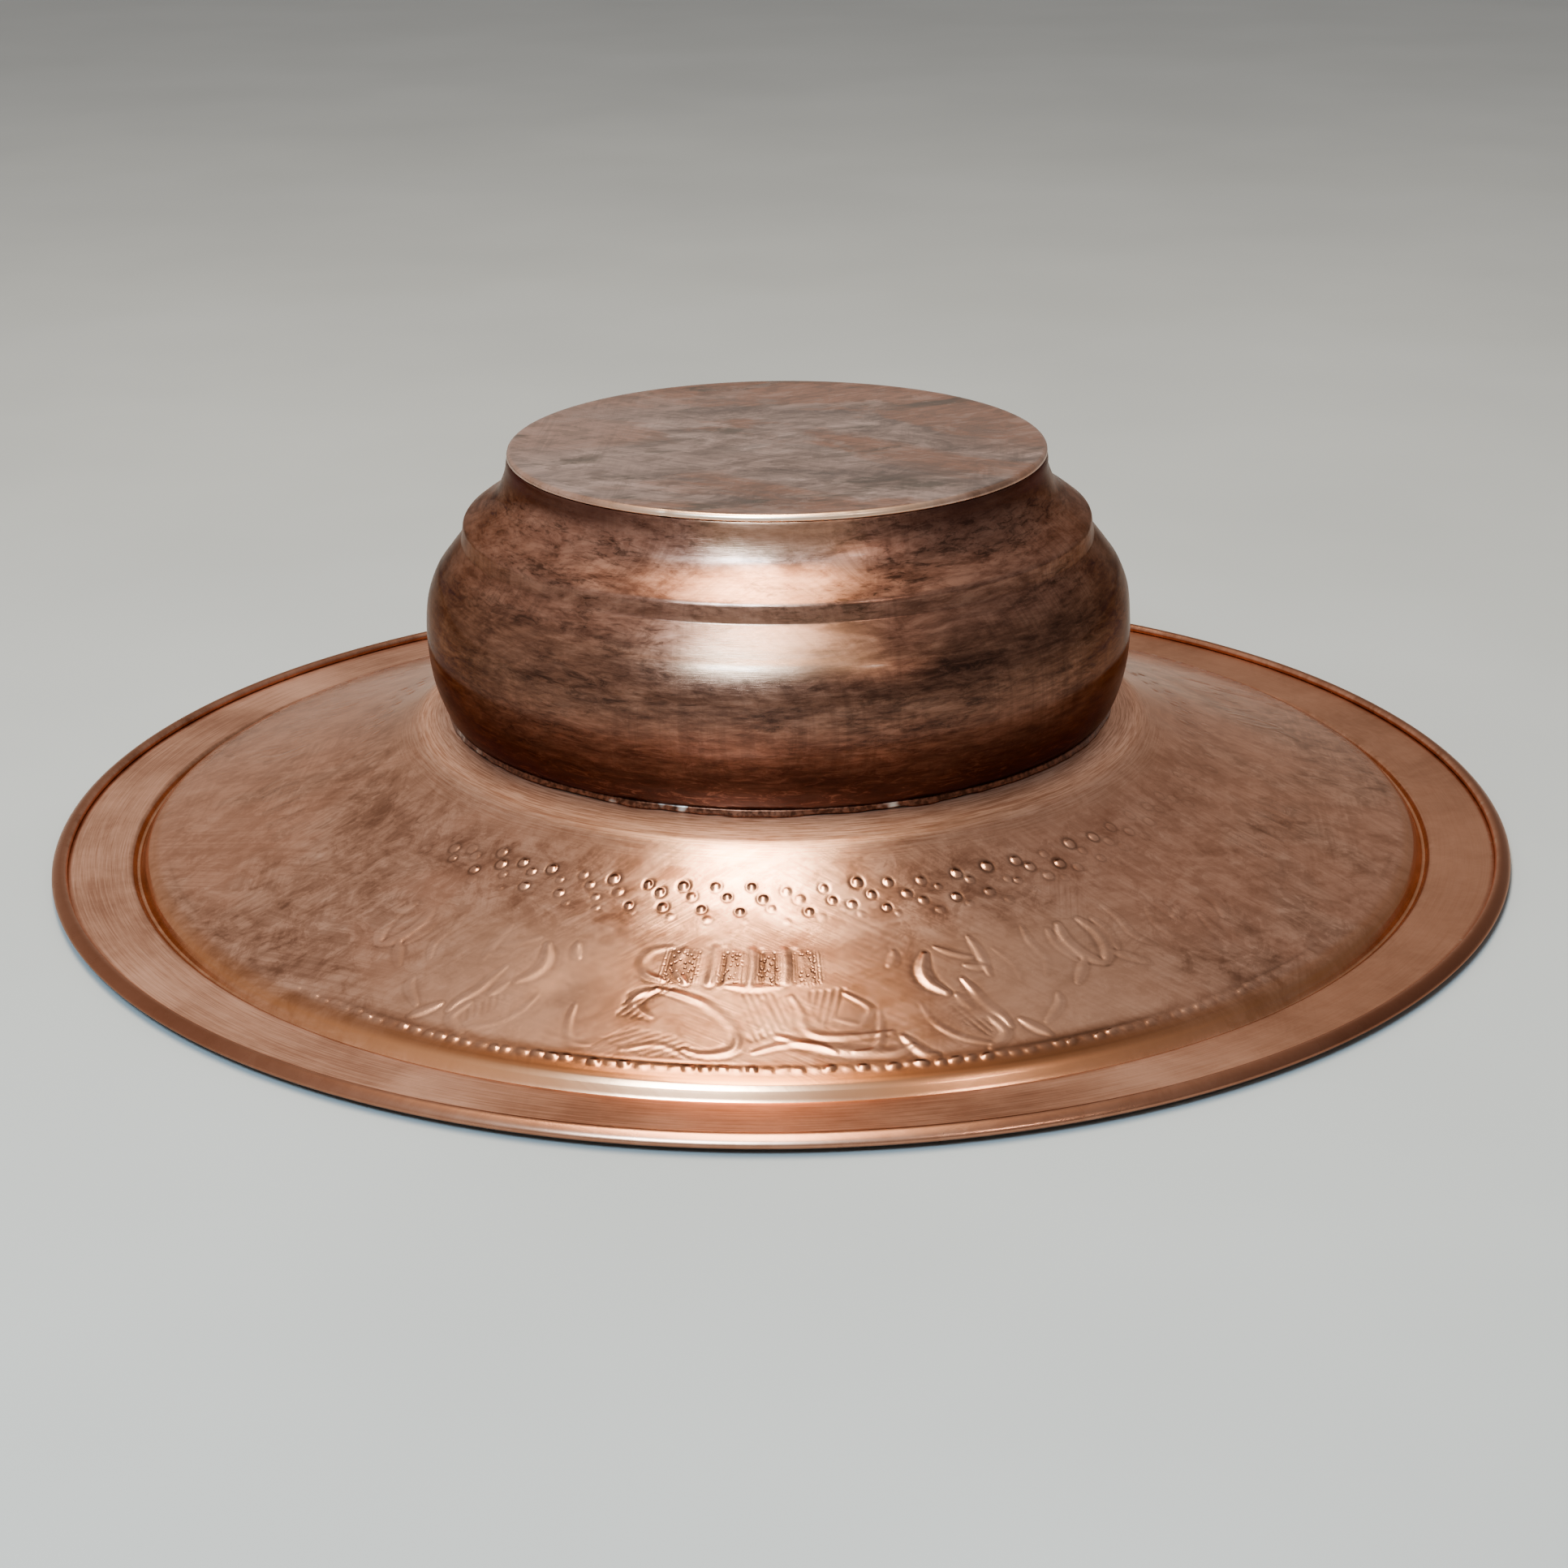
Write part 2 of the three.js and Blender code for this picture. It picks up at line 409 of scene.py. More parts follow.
def chase_beads(relief):
    """The row of toothlike beads along the outer edge of the dish, and the line chased above them."""
    count, row, line = 298, 153.6, 152.2
    for k in range(count):
        turn = k * 2 * math.pi / count + relief.rng.normal(0, 0.0018)
        length = relief.rng.uniform(1.05, 1.45)
        height = 0.34 * relief.rng.uniform(0.15, 1.05)
        radius = row + relief.rng.normal(0, 0.15)
        relief.bead(turn, radius, length, 0.85, height, relief.rng.uniform(-0.3, 0.5))
    line_wear = smoothstep(-0.3, 0.5, Noise(SEED + 4, 31, 1, 1.0)(relief.turns, 0.5))
    relief.height -= 0.08 * line_wear * np.exp(-(((relief.radii[:, None] - line) / 0.42) ** 2))


# The chased motifs. A stroke is its (degrees from the motif's middle, radius) points, its width and its
# height, and a hatched patch is its outline, the lean of its lines, their pitch and their depth.

PALMETTE_BARS = ((-1.9, 118.6, 128.8), (1.9, 118.8, 128.8), (5.2, 118.8, 128.4))
PALMETTE_PANELS = ((3.0, 4.6), (-0.9, 0.8), (6.4, 8.4), (-6.6, -3.4))
PALMETTE_STROKES = (
    ([(-5.0, 119.2), (-5.4, 122.5), (-5.2, 125.8), (-4.2, 129.0)], 0.85, 0.42),
    ([(-6.4, 118.8), (-8.3, 120.6), (-8.9, 124.0), (-8.0, 127.4), (-6.4, 128.8)], 0.8, 0.4),
    ([(-0.2, 129.6), (2.4, 130.0), (5.0, 129.6)], 0.6, 0.22),
    ([(-6.6, 131.6), (-4.6, 132.4), (-2.0, 135.0), (0.2, 139.6), (1.2, 144.0), (0.9, 148.0), (-1.2, 149.6),
      (-3.0, 148.4)], 0.8, 0.3),
    ([(-6.6, 131.6), (-8.3, 134.0), (-8.1, 137.0), (-6.4, 139.6)], 0.8, 0.3),
    ([(5.8, 132.6), (6.6, 137.0), (6.8, 141.2), (8.2, 144.0), (11.0, 144.4), (14.0, 143.8)], 0.7, 0.24),
    ([(4.6, 144.0), (8.4, 147.6), (13.2, 149.8), (15.4, 148.4)], 0.9, 0.24),
    ([(10.6, 132.0), (12.6, 136.6), (11.6, 140.8), (9.6, 139.4)], 0.6, 0.22),
    ([(14.8, 145.4), (16.0, 150.6), (17.0, 151.6)], 0.85, 0.32),
    ([(2.6, 148.6), (5.0, 146.4), (7.6, 146.6), (9.2, 149.0)], 0.6, 0.2),
    ([(-8.0, 149.6), (-5.0, 147.4), (-2.6, 150.6)], 0.55, 0.2),
    ([(3.2, 134.0), (3.9, 138.4), (3.0, 142.4)], 0.5, 0.16),
)
PALMETTE_HATCHES = (
    ([(-9.0, 133.0), (-5.0, 130.6), (-6.4, 134.0), (-7.6, 138.4), (-6.2, 141.0), (-9.4, 140.0)],
     35, 1.5, 0.07),
    ([(0.8, 131.4), (4.6, 131.4), (5.6, 137.0), (5.2, 142.0), (2.2, 146.0), (1.8, 138.0)], -20, 1.5, 0.06),
    ([(7.4, 131.0), (11.0, 130.6), (10.4, 136.0), (8.6, 142.0), (7.4, 137.0)], 15, 1.6, 0.06),
    ([(-4.0, 144.6), (-0.8, 150.6), (-6.0, 151.0), (-10.0, 147.0), (-8.0, 143.0)], 60, 1.5, 0.05),
)
LEAF_STROKES = (
    ([(19.3, 122.8), (18.5, 127.0), (18.7, 131.0), (19.9, 134.4)], 0.95, 0.48),
    ([(16.3, 121.0), (16.0, 123.4), (15.4, 125.0)], 0.75, 0.36),
    ([(21.9, 131.2), (22.4, 135.0), (22.8, 139.0), (23.6, 143.0), (23.9, 146.4)], 0.75, 0.36),
    ([(20.7, 135.4), (21.4, 139.4)], 0.75, 0.32),
    ([(22.8, 127.4), (24.8, 129.0)], 0.7, 0.26),
    ([(25.0, 145.0), (25.8, 148.0), (26.6, 150.6)], 0.75, 0.36),
    ([(20.6, 121.0), (22.2, 123.6), (23.8, 125.4)], 0.6, 0.22),
    ([(13.4, 138.0), (13.1, 144.0), (12.2, 148.6), (10.6, 149.2)], 0.6, 0.18),
    ([(17.2, 137.0), (17.8, 142.6), (19.4, 147.4), (21.6, 150.4)], 0.6, 0.2),
    ([(26.4, 124.0), (27.4, 129.0), (27.2, 134.0)], 0.55, 0.16),
)
LEAF_HATCH = [(19.6, 138.0), (21.0, 139.0), (22.4, 145.0), (22.0, 149.0), (20.2, 144.0)]
TULIP_STROKES = (
    ([(1.3, 121.4), (1.9, 126.0), (1.4, 131.0), (0.2, 134.6)], 0.95, 0.4),
    ([(2.8, 122.0), (3.0, 126.5), (2.4, 132.0)], 0.7, 0.22),
    ([(5.2, 119.4), (5.5, 124.0), (5.2, 129.5), (6.2, 134.0)], 0.6, 0.2),
    ([(4.0, 138.2), (2.6, 134.8), (1.6, 132.2)], 0.7, 0.26),
    ([(9.0, 147.0), (7.0, 143.0), (6.4, 140.0)], 0.65, 0.22),
    ([(11.4, 119.4), (11.2, 124.5), (11.4, 131.0)], 0.7, 0.22),
    ([(13.4, 142.8), (12.8, 148.0), (14.6, 151.6)], 0.75, 0.26),
)


def moved(points, centre, mirror=1):
    """The points carried to a motif's middle, and turned over when the mirror is -1."""
    return [(centre + mirror * a, r) for a, r in points]


def chase_strokes(relief, strokes, centre, mirror=1):
    for points, width, height in strokes:
        relief.stroke(moved(points, centre, mirror), width, height)


def chase_palmette(relief, centre):
    """Upright bars with stippled panels between, a scroll below and a spray of leaves."""
    for at, low, high in PALMETTE_BARS:
        middle = (low + high) / 2
        ridge = [(at, low), (at + 0.1, middle), (at, high)]
        trough = [(at + 1.0, low), (at + 1.1, middle), (at + 1.0, high)]
        relief.stroke(moved(ridge, centre), 0.75, 0.34, taper=0.7)
        relief.stroke(moved(trough, centre), 0.6, -0.2, taper=0.7)
    for left, right in PALMETTE_PANELS:
        peak = ((left + right) / 2, 129.4)
        panel = [(left, 119.5), (right, 119.5), (right, 128.6), peak, (left, 128.6)]
        relief.ground(moved(panel, centre), 0.05)
    chase_strokes(relief, PALMETTE_STROKES, centre)
    for points, lean, pitch, depth in PALMETTE_HATCHES:
        relief.hatch(moved(points, centre), lean, pitch, depth)


def chase_ornament():
    """Palmettes with leaves on both sides, and a tulip of two crescents back to back between each two."""
    relief = Relief()
    repeats, first = 5, -5.0
    for k in range(repeats):
        palmette = first + k * 360.0 / repeats
        chase_palmette(relief, palmette)
        for mirror in (-1, 1):
            chase_strokes(relief, LEAF_STROKES, palmette, mirror)
            relief.hatch(moved(LEAF_HATCH, palmette, mirror), -25, 1.5, 0.06)
        for mirror in (-1, 1):
            chase_strokes(relief, TULIP_STROKES, palmette + 180.0 / repeats, mirror)
    chase_dots(relief)
    chase_beads(relief)
    relief.rub()
    return relief


# ==================== flange

DISH = [CREASE, (101.7, 23.6), (113.0, 19.0), (123.5, 15.4), (138.0, 10.6), (152.8, 6.05)]
GROOVE = [(155.8, 4.95), (156.9, 4.3), (157.8, 3.15), (GROOVE_FLOOR[0], SHEET),
          (GROOVE_FLOOR[1], SHEET), (160.9, 2.4)]
GROOVE_ROUNDING = [1.6, 1.6, 1.4, 0.5, 0.5, 1.2]
RESTING_RADIUS = 159.4
BORDER_END = (175.4, 2.6)
ROLL = [(176.35, 2.5), (176.25, 3.2), (176.6, 3.85), (177.3, 4.2), (178.2, 4.1), (179.1, 3.6),
        (179.75, 2.95), (180.0, 2.3), (179.6, 1.65), (178.7, 1.25), (177.8, 1.15)]
FLANGE_TURNS = 1080


def flange_faces():
    """The upper face from the collar to the start of the roll, and the underside, 0.9 mm below it."""
    dish = spline(DISH, 12)
    start = arc(WIRE_CENTRE, CURL_RADIUS, CURL_START, CURL_START, 1)[:1]
    corners = np.vstack([[COLLAR], dish, GROOVE, [BORDER_END], start])
    radii = [5.0] + [4.0] * (len(dish) - 1) + GROOVE_ROUNDING + [2.0]
    upper = rounded(corners, radii)
    under = rounded(mitred(corners, SHEET), radii)
    return resample(upper, 0.9), resample(under, 1.7)


class Sheet:
    """The hand-made unevenness of the flange: a slight wave of the rim, ripples and shallow dents."""

    def __init__(self, seed):
        rng = np.random.default_rng(seed)
        self.wave = Noise(seed + 1, 7, 1, 1.0)
        self.ripple = Noise(seed + 2, 26, 10, 120.0)
        self.dents = random_dents(rng, 60, (90, 160), (4, 8), (-0.22, 0.12))

    def lift(self, turn, radius):
        """How far the sheet is off its true surface. The ring that rests on the table only ever rises."""
        rise = (self.wave(turn, 0.5) + 1.0) * 0.1 * smoothstep(85.0, 180.0, radius)
        height = rise + self.ripple(turn, np.clip(radius - 80.0, 0, 119)) * 0.05
        height = dented(height, self.dents, turn, radius, radius)
        resting = math.exp(-(((radius - RESTING_RADIUS) / 3.0) ** 2))
        return height * (1 - resting) + rise * resting


def make_flange(relief):
    upper, under = flange_faces()
    unevenness = Sheet(SEED + 5)
    fade = smoothstep(ORNAMENT_INNER, ORNAMENT_INNER + 1.0, relief.radii)
    fade = fade * (1 - smoothstep(ORNAMENT_OUTER - 0.5, ORNAMENT_OUTER, relief.radii))
    raised = relief.height * fade[:, None]
    stippled = relief.stipple * fade[:, None]
    rings = []

    def add(count, radius, height, along, under, raised=0.0, stippled=0.0):
        height = height + raised + unevenness.lift(turn_angles(count), radius)
        values = {"relief": raised, "chased": stippled, "under": under, "reach": radius / RIM_RADIUS}
        rings.append(Ring(count, radius, height, along, values))

    for radius, height in upper[upper[:, 0] < ORNAMENT_INNER]:
        add(FLANGE_TURNS, radius, height, radius, 0.0)
    for k, radius in enumerate(relief.radii):
        height = np.interp(radius, upper[:, 0], upper[:, 1])
        add(ORNAMENT_TURNS, radius, height, radius, 0.0, raised[k], stippled[k])
    for radius, height in upper[upper[:, 0] > ORNAMENT_OUTER][:-1]:
        add(FLANGE_TURNS, radius, height, radius, 0.0)
    for radius, height in arc(WIRE_CENTRE, CURL_RADIUS, CURL_START, CURL_END, 10):
        add(FLANGE_TURNS // 3, radius, height, radius + height, 1.0)
    for radius, height in spline(ROLL, 3):
        add(FLANGE_TURNS, min(radius, RIM_RADIUS), height, 190 + radius + height, 0.0)

    every = ORNAMENT_TURNS // FLANGE_TURNS
    for radius, height in under[::-1][1:]:
        within = ORNAMENT_INNER < radius < ORNAMENT_OUTER
        row = raised[np.abs(relief.radii - radius).argmin(), ::every] if within else 0.0
        add(FLANGE_TURNS, radius, height, 400 - radius, 1.0, row)
    return build_mesh("chased_flange", rings, closed=True)


# ==================== bowl

BULB = [(NECK_RADIUS, NECK_HEIGHT), (83.0, 36.3), (85.0, 42.0), (86.1, 48.5), (86.4, 55.5),
        (85.7, 62.0), (83.75, 67.3), (81.8, 70.2), (79.5, 73.2), (77.0, 76.3)]
SHOULDER_CENTRE, SHOULDER_RADIUS = (74.6, 79.5), 1.9
COVE = [(73.6, 82.6), (70.4, 84.8), (68.0, 87.3), (66.65, 90.0), (65.8, 92.6), (65.4, 94.9)]
BOWL_TURNS = 720


def bowl_faces():
    """The outer face from the lip under the flange up to the ledge under the disc, and the inner face."""
    along = np.array(CREASE) - np.array(COLLAR)
    along /= np.linalg.norm(along)
    root = np.array(COLLAR) + np.array([along[1], -along[0]]) * (SHEET + GAP)
    wall, ledge = FOOT_RADIUS - SHEET - GAP, FOOT_TOP - SHEET - GAP
    bulb = spline(BULB, 8)
    above = np.vstack([arc(SHOULDER_CENTRE, SHOULDER_RADIUS, 0, 55, 8), spline(COVE, 8)])
    lip = [root + along * NECK_LIP_WIDTH, (NECK_RADIUS, root[1] - 0.1)]
    ledge_corners = [(FOOT_RADIUS - 0.05, ledge - 0.5), (wall, ledge - 0.45), (wall, ledge),
                     (wall - FOOT_LEDGE_WIDTH, ledge)]
    corners = np.vstack([lip, bulb, above, ledge_corners])

    def rounding(neck, shoulder, end):
        """The radius at each inner corner. The smooth stretches are left as they are."""
        smooth_bulb, smooth_cove = [0.0] * (len(bulb) - 1), [0.0] * (len(above) - 1)
        return [neck, *smooth_bulb, shoulder, *smooth_cove, 0.2, 0.1, 0.1, end]

    outer = rounded(corners, rounding(0.3, 0.6, 0.2))
    inner = rounded(mitred(corners, -SHEET), rounding(1.0, 0.9, 0.1))
    return resample(outer, 0.9), resample(inner, 1.8)


def make_bowl():
    rng = np.random.default_rng(SEED + 11)
    sway = Noise(SEED + 12, 5, 3, 100.0)
    ripple = Noise(SEED + 13, 22, 8, 100.0)
    dents = random_dents(rng, 46, (36, 92), (3, 9), (-0.3, -0.05))

    def push(turn, radius, height):
        """How far the wall is pushed outwards: nothing where it meets the other pieces."""
        free = smoothstep(33.5, 37.0, height) * (1 - smoothstep(93.0, 95.0, height))
        amount = sway(turn, height) * 0.12 + ripple(turn, height) * 0.035
        return dented(amount, dents, turn, radius, height) * free

    rings = []

    def add(count, path, inside):
        length = np.r_[0, np.cumsum(np.linalg.norm(np.diff(path, axis=0), axis=1))]
        facing = normals(path)
        if inside:
            length, facing = 300 + length, -facing
        for (radius, height), side, along in zip(path, facing, length):
            amount = push(turn_angles(count), radius, height)
            values = {"under": float(inside), "rise": height / FOOT_TOP}
            rings.append(Ring(count, radius + side[0] * amount, height + side[1] * amount, along, values))

    outer, inner = bowl_faces()
    add(BOWL_TURNS, outer, False)
    add(BOWL_TURNS // 2, inner[::-1], True)
    return build_mesh("raised_bowl", rings, closed=True)


# ==================== base disc


def nick_depth(turn, seed):
    """The depth of the small bruises along the edge of the disc: three in front, the others anywhere."""
    rng = np.random.default_rng(seed)
    in_front = ((-22.5, 0.022, 0.6), (11.5, 0.03, 0.35), (16.0, 0.02, 0.3))
    nicks = [(math.radians(degrees), width, depth) for degrees, width, depth in in_front]
    for _ in range(14):
        nicks.append((rng.uniform(0.6, 5.6), rng.uniform(0.01, 0.03), rng.uniform(0.1, 0.35)))
    total = np.zeros(len(turn))
    for at, width, depth in nicks:
        total += depth * np.exp(-((np.angle(np.exp(1j * (turn - at))) / width) ** 2))
    return total


def make_base_disc():
    count, corner = 720, 1.1
    turn = turn_angles(count)
    nick = nick_depth(turn, SEED + 21)
    hollow = Noise(SEED + 22, 9, 5, 66.0)
    lip_wave = Noise(SEED + 23, 40, 1, 1.0)(turn, 0.5)
    under_height = FOOT_TOP - SHEET
    rings = []

    def add(radius, height, along, under, rows=count):
        values = {"under": under, "reach": np.mean(radius) / FOOT_RADIUS}
        rings.append(Ring(rows, radius, height, along, values))

    def sunk(radius):
        """How far the worn face of the disc lies below its edge."""
        edge = smoothstep(FOOT_RADIUS - 0.6, FOOT_RADIUS - 5.0, radius)
        return 0.16 * edge + 0.12 * (1 + hollow(turn, radius)) * smoothstep(64.0, 50.0, radius)

    for radius in np.linspace(1.5, FOOT_RADIUS - corner, 76):
        add(radius, FOOT_TOP - sunk(radius), radius, 0.0)
    for k, (radius, height) in enumerate(arc((FOOT_RADIUS - corner, FOOT_TOP - corner), corner, 75, 0, 5)):
        dent = nick * (0.2 + 0.1 * k)
        add(radius - dent * 0.5, height - dent * 0.25, radius + k * 0.3, 0.0)
    bottom = FOOT_TOP - FOOT_LIP_DEPTH + 0.02 * (1 + lip_wave) + 0.2 * nick
    add(FOOT_RADIUS - 0.1 * nick, bottom + 0.12, FOOT_RADIUS + 3, 0.0)
    add(FOOT_RADIUS - 0.12, bottom, FOOT_RADIUS + 3.3, 0.0)
    add(FOOT_RADIUS - SHEET + 0.05, bottom, FOOT_RADIUS + 4.2, 1.0)
    for radius in [FOOT_RADIUS - SHEET, *np.linspace(FOOT_RADIUS - SHEET - 0.8, 1.5, 24)]:
        hollowed = 0.3 if radius < 58 else 0.0
        add(radius, under_height - hollowed, 200 - radius, 1.0, count if radius > 60 else count // 2)
    caps = ((0, FOOT_TOP - 0.4), (len(rings) - 1, under_height - 0.3))
    return build_mesh("foot_disc", rings, closed=False, caps=caps)


# ==================== solder

SOLDER_TURNS = 720


def make_solder(name, inner, outer, seed, swell):
    """An uneven fillet of solder. Its inner corners stay, and its outer ones swell and thin."""
    turn = turn_angles(SOLDER_TURNS)
    swelling = Noise(seed, 60, 1, 1.0)(turn, 0.5) + 0.5 * Noise(seed + 1, 150, 1, 1.0)(turn, 0.5)
    amount = np.clip(1.0 - swell * (1.0 - swelling) / 2, 0.3, 1.0)
    root = np.mean(inner, axis=0)
    rings = [Ring(SOLDER_TURNS, radius, height, k * 0.6) for k, (radius, height) in enumerate(inner)]
    for k, (radius, height) in enumerate(outer):
        out, up = (radius - root[0]) * amount, (height - root[1]) * amount
        rings.append(Ring(SOLDER_TURNS, root[0] + out, root[1] + up, 2 + k * 0.6))
    return build_mesh(name, rings, closed=True)


def make_neck_solder():
    inner = [(82.0, 34.75), (81.45, 34.0), (81.05, 33.45), (81.6, 33.26)]
    outer = [(82.6, 32.92), (82.5, 33.25), (82.35, 33.7), (82.2, 34.2)]
    return make_solder("neck_seam_solder", inner, outer, SEED + 31, 0.6)


def make_foot_solder():
    edge = FOOT_RADIUS - SHEET - GAP - FOOT_LEDGE_WIDTH - GAP
    top = FOOT_TOP - SHEET - GAP
    inner = [(edge, top - 0.3), (edge, top)]
    outer = [(edge - 1.3, top), (edge - 0.8, top - 0.3), (edge - 0.3, top - 0.8), (edge, top - 1.2)]
    return make_solder("foot_seam_solder", inner, outer, SEED + 33, 0.5)


# ==================== materials


class Nodes:
    """A short way to write a node tree."""

    def __init__(self, name):
        self.material = bpy.data.materials.new(name)
        self.material.use_nodes = True
        self.tree = self.material.node_tree
        self.tree.nodes.clear()
        self.output = self.tree.nodes.new("ShaderNodeOutputMaterial")
        self.shader = self.tree.nodes.new("ShaderNodeBsdfPrincipled")
        self.tree.links.new(self.shader.outputs[0], self.output.inputs[0])

    def put(self, socket, value):
        if isinstance(value, bpy.types.NodeSocket):
            self.tree.links.new(value, socket)
        elif value is not None:
            socket.default_value = value

    def math(self, operation, a, b=None, c=None, clamp=False):
        node = self.tree.nodes.new("ShaderNodeMath")
        node.operation = operation
        node.use_clamp = clamp
        for socket, value in zip(node.inputs, (a, b, c)):
            self.put(socket, value)
        return node.outputs[0]

    def times(self, a, b):
        return self.math("MULTIPLY", a, b)

    def scaled(self, vector, scale, turn=0.0):
        """The vector turned about Z, then scaled axis by axis."""
        node = self.tree.nodes.new("ShaderNodeMapping")
        node.vector_type = "TEXTURE"
        self.put(node.inputs["Vector"], vector)
        node.inputs["Scale"].default_value = [1.0 / size for size in scale]
        node.inputs["Rotation"].default_value = (0.0, 0.0, turn)
        return node.outputs[0]

    def noise(self, vector, scale, detail=4.0, rough=0.55, warp=0.0):
        node = self.tree.nodes.new("ShaderNodeTexNoise")
        self.put(node.inputs["Vector"], vector)
        node.inputs["Scale"].default_value = scale
        node.inputs["Detail"].default_value = detail
        node.inputs["Roughness"].default_value = rough
        node.inputs["Distortion"].default_value = warp
        return node.outputs["Fac"]

    def grain(self, vector, scale, detail, rough, warp=0.0, turn=0.0):
        """Noise stretched axis by axis."""
        return self.noise(self.scaled(vector, scale, turn), 1.0, detail, rough, warp)

    def voronoi(self, vector, scale):
        node = self.tree.nodes.new("ShaderNodeTexVoronoi")
        self.put(node.inputs["Vector"], vector)
        node.inputs["Scale"].default_value = scale
        return node.outputs["Distance"]

    def ramp(self, value, stops):
        """A smooth step through (position, level) pairs. A level is a grey value or a colour."""
        node = self.tree.nodes.new("ShaderNodeValToRGB")
        self.put(node.inputs[0], value)
        elements = node.color_ramp.elements
        while len(elements) < len(stops):
            elements.new(0.5)
        for element, (at, level) in zip(elements, stops):
            element.position = at
            element.color = (*level, 1) if isinstance(level, tuple) else (level, level, level, 1)
        return node.outputs[0]

    def up(self, value, low, high):
        """Black below the low value and white above the high one."""
        return self.ramp(value, [(low, 0.0), (high, 1.0)])

    def down(self, value, low, high):
        """White below the low value and black above the high one."""
        return self.ramp(value, [(low, 1.0), (high, 0.0)])

    def mix(self, amount, a, b):
        node = self.tree.nodes.new("ShaderNodeMix")
        node.data_type = "RGBA"
        self.put(node.inputs["Factor"], amount)
        for socket, value in ((node.inputs[6], a), (node.inputs[7], b)):
            self.put(socket, (*value, 1) if isinstance(value, tuple) else value)
        return node.outputs[2]

    def between(self, amount, low, high):
        """A number that goes from low to high with the amount."""
        node = self.tree.nodes.new("ShaderNodeMapRange")
        self.put(node.inputs["Value"], amount)
        node.inputs["To Min"].default_value = low
        node.inputs["To Max"].default_value = high
        return node.outputs[0]

    def attribute(self, name, kind="Fac"):
        node = self.tree.nodes.new("ShaderNodeAttribute")
        node.attribute_name = name
        return node.outputs[kind]

    def place(self):
        return self.tree.nodes.new("ShaderNodeTexCoord").outputs["Object"]

    def axis(self, vector, name):
        node = self.tree.nodes.new("ShaderNodeSeparateXYZ")
        self.put(node.inputs[0], vector)
        return node.outputs[name]

    def layers(self, colour, *coats):
        """Coats of (weight, mask, colour) laid over the colour, one after the other."""
        for weight, mask, coat in coats:
            colour = self.mix(self.times(mask, weight), colour, coat)
        return colour

    def bump(self, height, distance, strength):
        node = self.tree.nodes.new("ShaderNodeBump")
        node.inputs["Strength"].default_value = strength
        node.inputs["Distance"].default_value = distance
        self.put(node.inputs["Height"], height)
        return node.outputs[0]

    def finish(self, colour, roughness, normal, metallic=1.0, coat=0.0, edge=(1.0, 1.0, 1.0)):
        """Connect the shader. The edge colour tints what the metal reflects at a glancing angle."""
        self.put(self.shader.inputs["Base Color"], colour)
        self.put(self.shader.inputs["Roughness"], roughness)
        self.put(self.shader.inputs["Normal"], normal)
        self.shader.inputs["Metallic"].default_value = metallic
        self.shader.inputs["Coat Weight"].default_value = coat
        self.shader.inputs["Coat Roughness"].default_value = 0.12
        self.shader.inputs["Specular Tint"].default_value = (*edge, 1.0)
        return self.material


TINNED = [(0.35, (0.46, 0.43, 0.4)), (0.65, (0.66, 0.63, 0.6))]


def wipes(n, place):
    """Fine wiping scratches in four directions, one giving way to the next in patches."""
    result = n.grain(place, (24, 860, 24), 3, 0.62, turn=0.55)
    for k, turn in enumerate((-0.75, 1.5, 2.6)):
        patch = n.up(n.grain(place, (22 + 3 * k, 22, 22), 2, 0.5, 0.5), 0.47, 0.56)
        result = n.mix(patch, result, n.grain(place, (24, 760 + 70 * k, 24), 3, 0.62, turn=turn))
    return result


